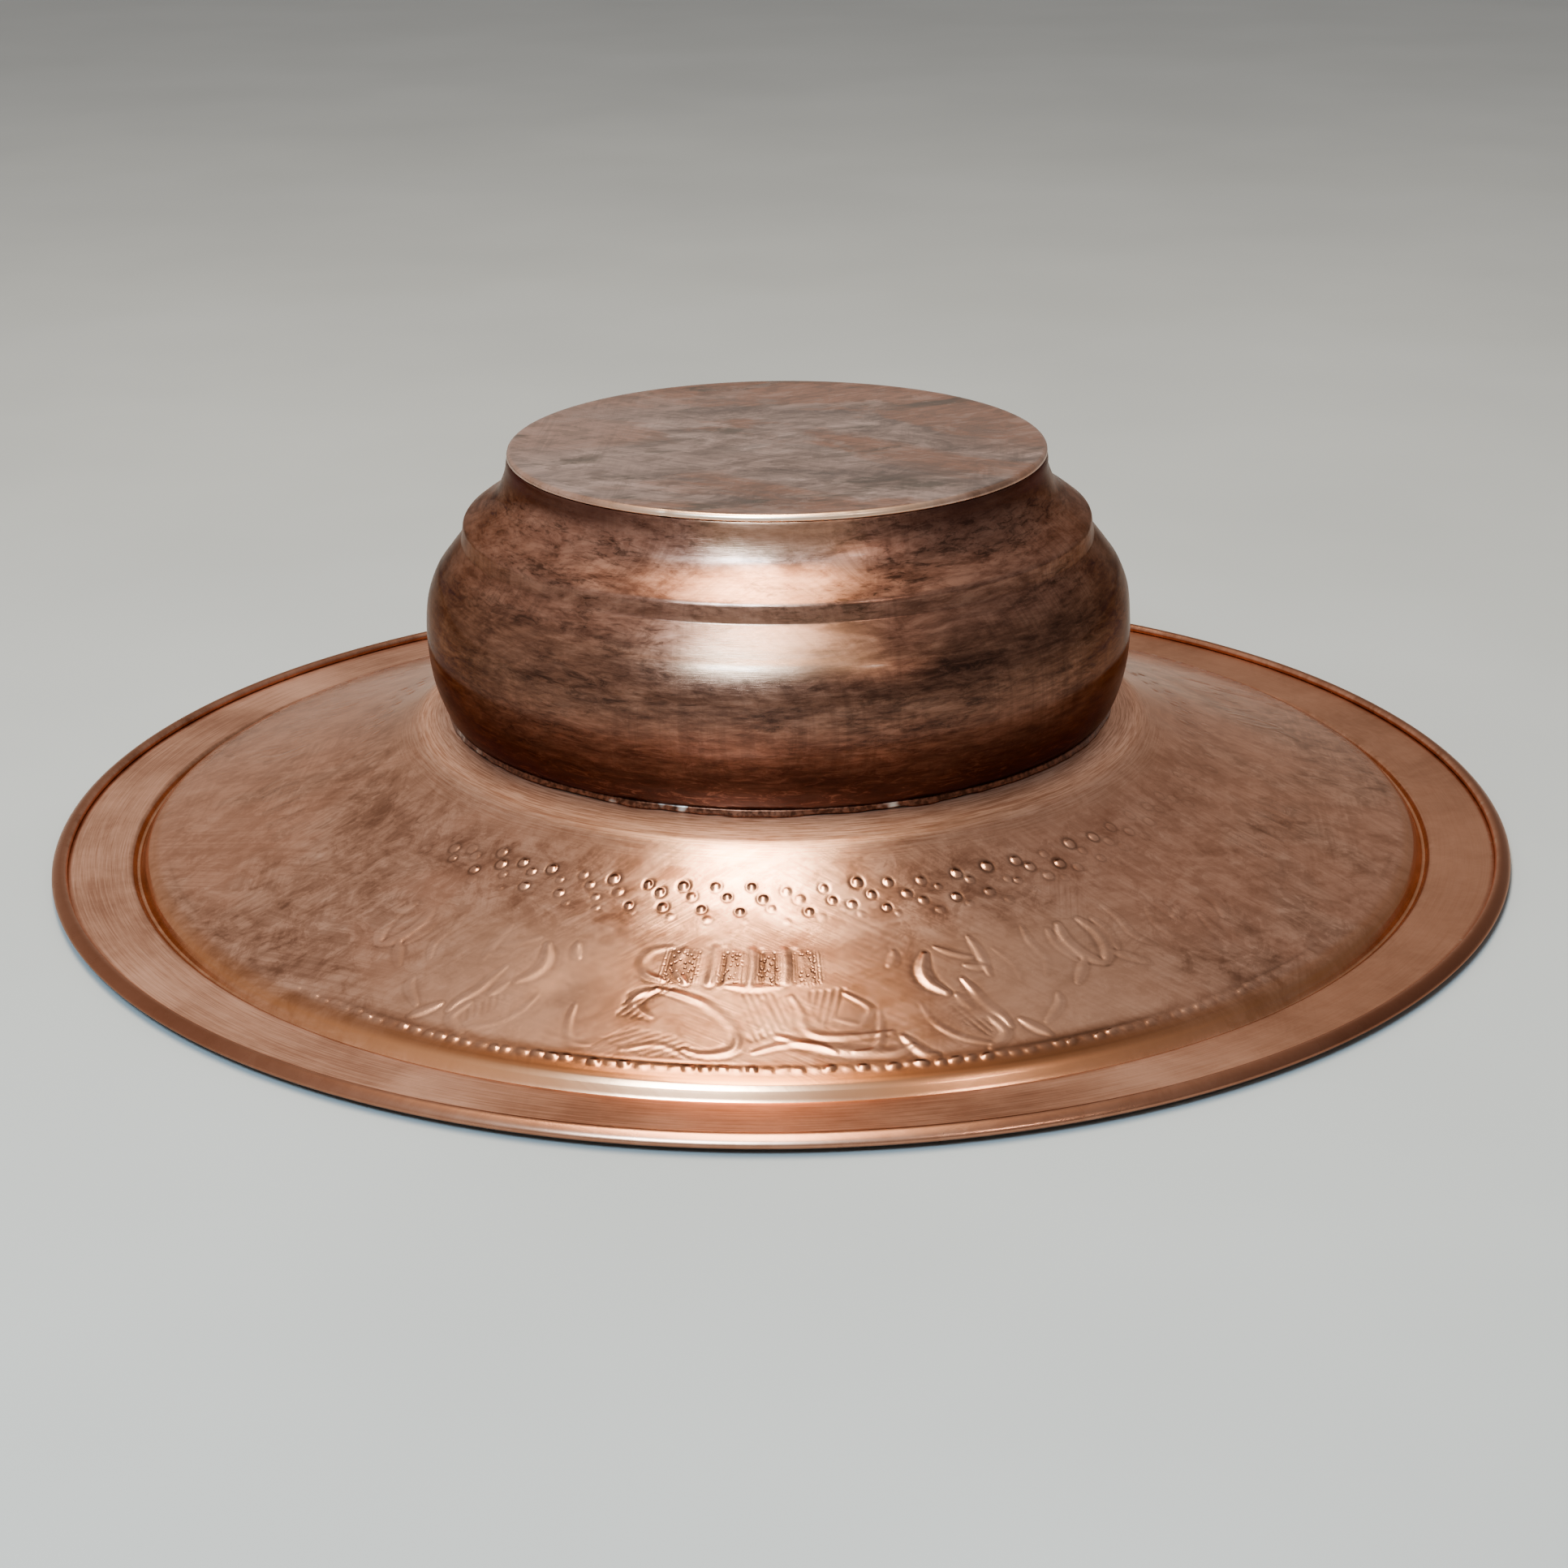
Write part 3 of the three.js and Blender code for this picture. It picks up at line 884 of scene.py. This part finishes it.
def bowl_material():
    """Dark brown copper, mottled and brushed, pinkish in the cove and under a thin old lacquer; painted
    shade low on the bulb and on the sides of the foot wall, painted light on their front.
    """
    n = Nodes("brushed_brown_copper")
    sweep = n.attribute("sweep", "Vector")
    facing = n.axis(sweep, "X")
    rise = n.attribute("rise")
    streaks = n.grain(sweep, (8, 8, 9), 7, 0.7)
    blotches = n.grain(sweep, (6, 6, 2.4), 8, 0.72, 0.4)
    feathers = n.grain(sweep, (13, 13, 7), 8, 0.74, 1.1)
    smoky = n.grain(sweep, (2.6, 2.6, 0.9), 4, 0.6, 0.5)
    fine = n.grain(sweep, (11, 11, 70), 3, 0.6)
    tone = n.math("ADD", n.times(streaks, 0.4), n.times(blotches, 0.6))
    colour = n.ramp(tone, [(0.39, (0.11, 0.05, 0.033)), (0.47, (0.19, 0.091, 0.06)),
                           (0.54, (0.265, 0.133, 0.088)), (0.62, (0.36, 0.195, 0.135))])
    # Painted shade: a darker mottle for the bottom of the bulb, towards the neck.
    painted_low_shade = n.ramp(feathers, [(0.44, (0.1, 0.042, 0.03)), (0.56, (0.034, 0.018, 0.014))])
    pink = n.ramp(blotches, [(0.4, (0.27, 0.127, 0.088)), (0.5, (0.4, 0.205, 0.148)),
                             (0.6, (0.5, 0.275, 0.203))])
    dark = n.times(n.up(feathers, 0.5, 0.57), n.ramp(blotches, [(0.4, 1.0), (0.58, 0.45)]))
    dark = n.times(dark, n.ramp(smoky, [(0.43, 0.25), (0.57, 1.3)]))
    # Painted shade: the top of the foot wall, darkened away from the front.
    wall = n.times(n.up(rise, 0.915, 0.955), n.down(facing, 0.8, 0.97))
    # Painted highlight: bands over the top of the bulb and the foot wall, laid only where they face the
    # front.
    front_highlight_bands = n.ramp(rise, [(0.66, 0.0), (0.7, 1.0), (0.76, 1.0), (0.8, 0.3),
                          (0.9, 0.2), (0.93, 1.0), (0.97, 1.0)])
    colour = n.layers(
        colour,
        # Painted shade: the bulb darkened towards its bottom, nearly black next to the neck.
        (0.85, n.down(rise, 0.36, 0.54), painted_low_shade),
        (0.6, n.down(rise, 0.38, 0.45), (0.045, 0.01, 0.005)),
        (0.8, n.ramp(rise, [(0.8, 0.0), (0.835, 1.0), (0.94, 0.9), (0.975, 0.4)]), pink),
        # A pinkish band over the top of the bulb, carried up into the notch under the shoulder as painted
        # light.
        (0.5, n.ramp(rise, [(0.71, 0.0), (0.75, 1.0), (0.8, 1.0), (0.81, 0.8)]), pink),
        (0.3, n.up(smoky, 0.52, 0.62), (0.1, 0.048, 0.034)),
        (0.2, n.down(wipes(n, n.place()), 0.42, 0.52), (0.09, 0.042, 0.03)),
        (0.62, dark, (0.06, 0.03, 0.021)),
        (0.3, n.down(feathers, 0.38, 0.45), (0.38, 0.2, 0.14)),
        # Painted shade on the sides of the foot wall.
        (0.82, wall, (0.1, 0.036, 0.025)),
        # Painted highlight on the front of the bulb top and the foot wall.
        (0.4, n.times(n.up(facing, 0.95, 0.985), front_highlight_bands), (0.6, 0.33, 0.2)),
    )
    colour = n.mix(n.attribute("under"), colour, n.ramp(blotches, TINNED))
    height = n.math("ADD", fine, n.times(streaks, 0.7))
    roughness = n.between(blotches, 0.22, 0.4)
    return n.finish(colour, roughness, n.bump(height, 0.00005, 0.5), coat=0.25, edge=(0.45, 0.31, 0.24))


def flange_material():
    """Pinkish worn copper under a cloudy brown patina, dirty in the chasing and stained in the groove;
    painted light and shade change it from the front to the sides.
    """
    n = Nodes("chased_pink_copper")
    sweep = n.attribute("sweep", "Vector")
    place = n.place()
    leaves = n.noise(place, 95.0, 7, 0.7, 0.8)
    clouds = n.noise(place, 17.0, 4, 0.6, 0.3)
    flecks = n.grain(place, (110, 260, 110), 5, 0.66, 0.4, turn=0.5)
    patches = n.noise(place, 130.0, 6, 0.7, 0.7)
    wiped = wipes(n, place)
    broad = n.grain(place, (16, 90, 16), 4, 0.6, 0.3, turn=-0.5)
    rings = n.grain(sweep, (5, 5, 13), 4, 0.6)
    brushed = n.grain(sweep, (9, 9, 30), 4, 0.66)

    reach = n.attribute("reach")
    aside = n.math("ABSOLUTE", n.axis(sweep, "Y"))
    front = n.up(n.axis(sweep, "X"), 0.72, 0.96)
    sides = n.math("SUBTRACT", 1.0, front)

    collar = n.down(reach, 0.49, 0.51)
    dots = n.ramp(reach, [(0.54, 0.0), (0.57, 1.0), (0.6, 1.0), (0.64, 0.0)])
    # Dirt in the punched dots, heavier on the sides, where it is partly painted shade.
    dot_dirt_and_side_shade = n.times(dots, n.math("MULTIPLY_ADD", sides, 0.25, 0.08))
    dot_dirt_and_side_shade = n.times(dot_dirt_and_side_shade, n.ramp(leaves, [(0.36, 1.0), (0.62, 0.3)]))
    dish = n.ramp(reach, [(0.63, 0.0), (0.68, 1.0), (0.83, 1.0), (0.85, 0.0)])
    painted_light_aside = n.ramp(aside, [(0.22, 0.0), (0.36, 1.0), (0.5, 1.0), (0.66, 0.0)])
    ridge = n.ramp(reach, [(0.854, 0.0), (0.864, 1.0), (0.876, 1.0), (0.882, 0.0)])
    beads = n.ramp(reach, [(0.834, 0.0), (0.844, 1.0), (0.876, 1.0), (0.884, 0.0)])
    groove = n.ramp(reach, [(0.869, 0.0), (0.876, 1.0), (0.889, 0.9), (0.8965, 0.0)])
    # A stain in the groove, laid almost only on the sides, where it is partly painted shade.
    groove_stain_and_side_shade = n.times(groove, n.math("MULTIPLY_ADD", sides, 0.75, 0.05))
    groove_stain_and_side_shade = n.times(groove_stain_and_side_shade, n.ramp(rings, [(0.36, 1.0), (0.64, 0.45)]))
    border = n.ramp(reach, [(0.892, 0.0), (0.899, 1.0), (0.974, 1.0), (0.979, 0.3)])
    seam = n.ramp(reach, [(0.9735, 0.0), (0.978, 1.0), (0.981, 0.2), (0.985, 0.0)])
    residue = n.times(seam, n.up(n.noise(place, 330.0, 3, 0.6), 0.6, 0.66))
    residue = n.times(residue, n.up(n.noise(place, 9.0, 2, 0.5), 0.58, 0.64))
    roll = n.up(reach, 0.981, 0.986)
    relief = n.attribute("relief")
    raised = n.math("MULTIPLY", relief, 3.0, clamp=True)
    pressed = n.math("MULTIPLY", relief, -9.0, clamp=True)

    streaky = n.ramp(brushed, [(0.38, (0.54, 0.28, 0.185)), (0.6, (1.0, 0.65, 0.49))])
    patchy = n.math("ADD", n.times(brushed, 0.5), n.times(clouds, 0.5))
    brown = n.ramp(patchy, [(0.4, (0.44, 0.23, 0.16)), (0.5, (0.64, 0.38, 0.28)), (0.6, (0.78, 0.5, 0.39))])
    # Painted shade: the border darkened towards the right side, for a dark reflection there.
    brown = n.layers(brown, (0.8, n.up(n.axis(sweep, "Y"), 0.3, 0.65), (0.36, 0.175, 0.105)))
    tone = n.math("ADD", n.times(leaves, 0.42), n.times(clouds, 0.2))
    tone = n.math("MULTIPLY_ADD", broad, 0.1, n.math("MULTIPLY_ADD", flecks, 0.28, tone))
    colour = n.ramp(tone, [(0.41, (0.31, 0.158, 0.106)), (0.47, (0.53, 0.295, 0.208)),
                           (0.53, (0.66, 0.385, 0.28)), (0.61, (0.8, 0.5, 0.375))])
    colour = n.layers(
        colour,
        (0.34, n.up(patches, 0.5, 0.55), (0.26, 0.125, 0.082)),
        (0.3, n.down(patches, 0.42, 0.465), (0.76, 0.46, 0.34)),
        (0.24, n.down(wiped, 0.42, 0.55), (0.22, 0.1, 0.06)),
        # Painted reflection: redder clouds on the sides only, for a warm reflection there.
        (0.35, n.times(sides, n.up(clouds, 0.47, 0.56)), (0.62, 0.3, 0.2)),
        (0.8, n.down(reach, 0.49, 0.54), streaky),
        # Painted shade: the flange next to the neck darkened on the sides.
        (0.3, n.times(n.down(reach, 0.52, 0.57), n.up(aside, 0.12, 0.4)), (0.36, 0.17, 0.105)),
        # Dirt in the punched dots, with painted shade on the sides.
        (0.85, dot_dirt_and_side_shade, (0.22, 0.09, 0.055)),
        # Painted shade: the front of the dish darkened under its highlight.
        (0.5, n.times(dish, front), (0.44, 0.215, 0.13)),
        # Painted light: the dish lightened between the front and the sides.
        (0.4, n.times(dish, painted_light_aside), (0.88, 0.54, 0.39)),
        # The border's brown, with its painted shade on the right.
        (0.8, border, brown),
        # A darker copper on the ridge all round, twice as strong at the front as painted shade over its
        # highlight.
        (0.9, n.times(ridge, n.math("MULTIPLY_ADD", front, 0.5, 0.5)), (0.43, 0.18, 0.08)),
        # Painted shade over the bead row, at the front only.
        (0.74, n.times(beads, front), (0.24, 0.1, 0.05)),
        (0.3, raised, (0.8, 0.5, 0.37)),
        (0.8, pressed, (0.09, 0.042, 0.026)),
        # The stain in the groove, with painted shade on the sides.
        (1.0, groove_stain_and_side_shade, (0.5, 0.22, 0.1)),
        # Painted light: the front of the groove in a bright copper.
        (0.85, n.times(groove, front), (0.95, 0.46, 0.25)),
        # Painted shade in the crease where the groove meets the border.
        (0.3, n.ramp(reach, [(0.8915, 0.0), (0.894, 1.0), (0.8965, 0.0)]), (0.2, 0.08, 0.045)),
        (0.75, seam, (0.36, 0.12, 0.06)),
        (0.75, roll, (0.42, 0.2, 0.125)),
        # Painted shade: the roll darkened on the sides, for a dark reflection there.
        (0.7, n.times(roll, sides), (0.2, 0.07, 0.038)),
        (0.8, residue, (0.66, 0.64, 0.5)),
    )
    colour = n.mix(n.attribute("under"), colour, n.ramp(leaves, TINNED))
    roughness = n.math("MULTIPLY_ADD", collar, 0.25, n.between(clouds, 0.15, 0.31))
    roughness = n.math("MULTIPLY_ADD", border, 0.16, roughness)
    stipple = n.up(n.voronoi(n.scaled(sweep, (118, 118, 9)), 1.0), 0.15, 0.4)
    pits = n.times(stipple, n.attribute("chased"))
    height = n.math("ADD", wiped, n.times(pits, 5.0))
    return n.finish(colour, roughness, n.bump(height, 0.00004, 0.45), coat=0.1, edge=(0.93, 0.76, 0.66))


def disc_material():
    """Mauve-brown copper with orange-brown patches and dark greenish smudges, worn bright on its edge;
    painted light on its left side and a painted highlight on the front of the edge.
    """
    n = Nodes("smudged_mauve_copper")
    place = n.place()
    sweep = n.attribute("sweep", "Vector")
    facing = n.axis(sweep, "X")
    reach = n.attribute("reach")
    blotches = n.grain(place, (34, 60, 34), 8, 0.7, 0.8, turn=0.2)
    warm = n.grain(place, (14, 24, 14), 6, 0.64, 0.6, turn=-0.3)
    smudges = n.grain(place, (34, 80, 34), 5, 0.62, 0.5, turn=0.2)
    flecks = n.grain(place, (120, 190, 120), 6, 0.7, 0.5, turn=0.2)
    wiped = wipes(n, place)
    back = n.times(n.up(reach, 0.55, 0.95), n.down(facing, 0.0, 0.3))
    orange = n.math("ADD", n.up(warm, 0.49, 0.56), n.times(back, 0.9), clamp=True)
    # Painted light: a mask for the left side of the disc.
    left = n.math("MULTIPLY", n.axis(sweep, "Y"), -1.0, clamp=True)
    left = n.times(n.up(left, 0.4, 0.8), n.up(reach, 0.35, 0.7))
    colour = n.ramp(blotches, [(0.4, (0.22, 0.145, 0.118)), (0.47, (0.4, 0.27, 0.228)),
                               (0.53, (0.54, 0.378, 0.325)), (0.61, (0.72, 0.53, 0.475))])
    colour = n.layers(
        colour,
        (0.8, orange, (0.47, 0.21, 0.12)),
        # Painted light on the left side of the disc.
        (0.4, left, (0.74, 0.54, 0.48)),
        (0.8, n.up(smudges, 0.57, 0.66), (0.11, 0.085, 0.055)),
        (0.4, n.up(flecks, 0.52, 0.57), (0.2, 0.125, 0.09)),
        (0.35, n.down(flecks, 0.41, 0.46), (0.68, 0.48, 0.41)),
        (0.25, n.down(wiped, 0.42, 0.55), (0.15, 0.095, 0.07)),
        (0.5, n.up(reach, 0.986, 0.992), (0.62, 0.36, 0.25)),
        # Painted highlight on the front of the edge.
        (0.8, n.times(n.up(reach, 0.985, 0.99), n.up(facing, 0.75, 0.98)), (1.0, 0.72, 0.53)),
    )
    colour = n.mix(n.attribute("under"), colour, n.ramp(blotches, TINNED))
    roughness = n.between(blotches, 0.2, 0.4)
    return n.finish(colour, roughness, n.bump(wiped, 0.00004, 0.6), coat=0.2, edge=(0.96, 0.9, 0.86))


def solder_material():
    """Tin solder, silvery in a few places and toned copper brown in the rest."""
    n = Nodes("toned_tin_solder")
    place = n.place()
    patches = n.noise(place, 60.0, 3, 0.6)
    grain = n.noise(place, 900.0, 3, 0.6)
    toned = n.ramp(grain, [(0.4, (0.09, 0.036, 0.022)), (0.6, (0.22, 0.09, 0.055))])
    colour = n.mix(n.up(patches, 0.62, 0.68), toned, (0.66, 0.56, 0.49))
    return n.finish(colour, n.between(grain, 0.25, 0.5), n.bump(grain, 0.00006, 0.6))


def wire_material():
    n = Nodes("drawn_iron")
    grain = n.noise(n.place(), 700.0, 4, 0.6)
    colour = n.ramp(grain, [(0.4, (0.16, 0.13, 0.11)), (0.62, (0.36, 0.33, 0.3))])
    return n.finish(colour, n.between(grain, 0.35, 0.6), n.bump(grain, 0.00004, 0.5))


def floor_material():
    n = Nodes("pale_studio_floor")
    mottle = n.noise(n.place(), 6.0, 3, 0.5)
    colour = n.ramp(mottle, [(0.3, (0.345, 0.343, 0.336)), (0.7, (0.375, 0.373, 0.366))])
    return n.finish(colour, n.between(mottle, 0.6, 0.7), None, metallic=0.0)


# ==================== stage: floor, lights and camera


def make_floor():
    mesh = bpy.data.meshes.new("studio_floor")
    half = 7.0
    corners = [(-half, -half, 0), (half, -half, 0), (half, half, 0), (-half, half, 0)]
    mesh.from_pydata(corners, [], [(0, 1, 2, 3)])
    floor = bpy.data.objects.new("studio_floor", mesh)
    bpy.context.scene.collection.objects.link(floor)
    floor.data.materials.append(floor_material())


def area_light(name, location, target, size, energy, colour):
    light = bpy.data.lights.new(name, "AREA")
    light.shape = "RECTANGLE"
    light.size, light.size_y = size
    light.energy = energy
    light.color = colour
    lamp = bpy.data.objects.new(name, light)
    lamp.location = location
    lamp.rotation_mode = "QUATERNION"
    lamp.rotation_quaternion = (Vector(target) - Vector(location)).to_track_quat("-Z", "Y")
    bpy.context.scene.collection.objects.link(lamp)


def make_lights():
    """A warm strip overhead from front to back, a cool softbox over the camera, a weak fill and the room."""
    warm, cool, pale = (1.0, 0.86, 0.65), (0.5, 0.78, 1.0), (1.0, 0.9, 0.8)
    area_light("overhead_strip", (-0.1, -0.16, 1.25), (-0.1, -0.1599, 0.0), (0.27, 1.18), 19.8, warm)
    area_light("cool_softbox", (-0.31, -1.06, 1.02), (0.0, -0.07, 0.07), (0.36, 0.34), 24.5, cool)
    area_light("small_fill", (0.72, -1.1, 0.95), (0.0, 0.0, 0.06), (0.16, 0.07), 1.4, pale)
    world = bpy.data.worlds.new("studio")
    bpy.context.scene.world = world
    world.use_nodes = True
    tree = world.node_tree
    tree.nodes.clear()
    output = tree.nodes.new("ShaderNodeOutputWorld")
    background = tree.nodes.new("ShaderNodeBackground")
    towards = tree.nodes.new("ShaderNodeTexCoord")
    split = tree.nodes.new("ShaderNodeSeparateXYZ")
    across = tree.nodes.new("ShaderNodeMapRange")
    shade = tree.nodes.new("ShaderNodeValToRGB")
    across.inputs["From Min"].default_value = -1.0
    shade.color_ramp.elements[0].color = (0.66, 0.645, 0.62, 1)
    shade.color_ramp.elements[1].color = (0.28, 0.28, 0.28, 1)
    tree.links.new(towards.outputs["Generated"], split.inputs[0])
    tree.links.new(split.outputs["X"], across.inputs["Value"])
    tree.links.new(across.outputs[0], shade.inputs[0])
    tree.links.new(shade.outputs[0], background.inputs["Color"])
    tree.links.new(background.outputs[0], output.inputs[0])


def make_camera():
    """The camera looks along +Y and down, nearly on the axis of symmetry, with a trace of roll."""
    place = (0.0, -0.68103, 0.27113)
    pitch, roll, yaw = 0.3672, -0.0103, 0.0013
    forward = Vector((math.sin(yaw) * math.cos(pitch), math.cos(yaw) * math.cos(pitch), -math.sin(pitch)))
    right = Vector((math.cos(yaw), -math.sin(yaw), 0.0))
    up = right.cross(forward)
    right, up = right * math.cos(roll) + up * math.sin(roll), up * math.cos(roll) - right * math.sin(roll)
    data = bpy.data.cameras.new("camera")
    data.sensor_width = 36.0
    data.lens = 66.32
    data.clip_start, data.clip_end = 0.01, 60.0
    camera = bpy.data.objects.new("camera", data)
    turn = Matrix((right, up, -forward)).transposed()
    camera.matrix_world = Matrix.Translation(place) @ turn.to_4x4()
    bpy.context.scene.collection.objects.link(camera)
    bpy.context.scene.camera = camera


# ==================== assembly


def settle(piece, node, material):
    piece.data.materials.append(material)
    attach(piece, "root")
    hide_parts(node)


settle(make_flange(chase_ornament()), "rim_flange", flange_material())
settle(make_bowl(), "bowl_body", bowl_material())
settle(make_base_disc(), "base_disc", disc_material())
solder = solder_material()
settle(make_neck_solder(), "neck_solder", solder)
settle(make_foot_solder(), "foot_solder", solder)

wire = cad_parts["rim_wire"]
wire.data.materials.clear()
wire.data.materials.append(wire_material())

make_floor()
make_lights()
make_camera()
bpy.context.scene.view_settings.look = "AgX - Medium High Contrast"

bpy.context.view_layer.update()
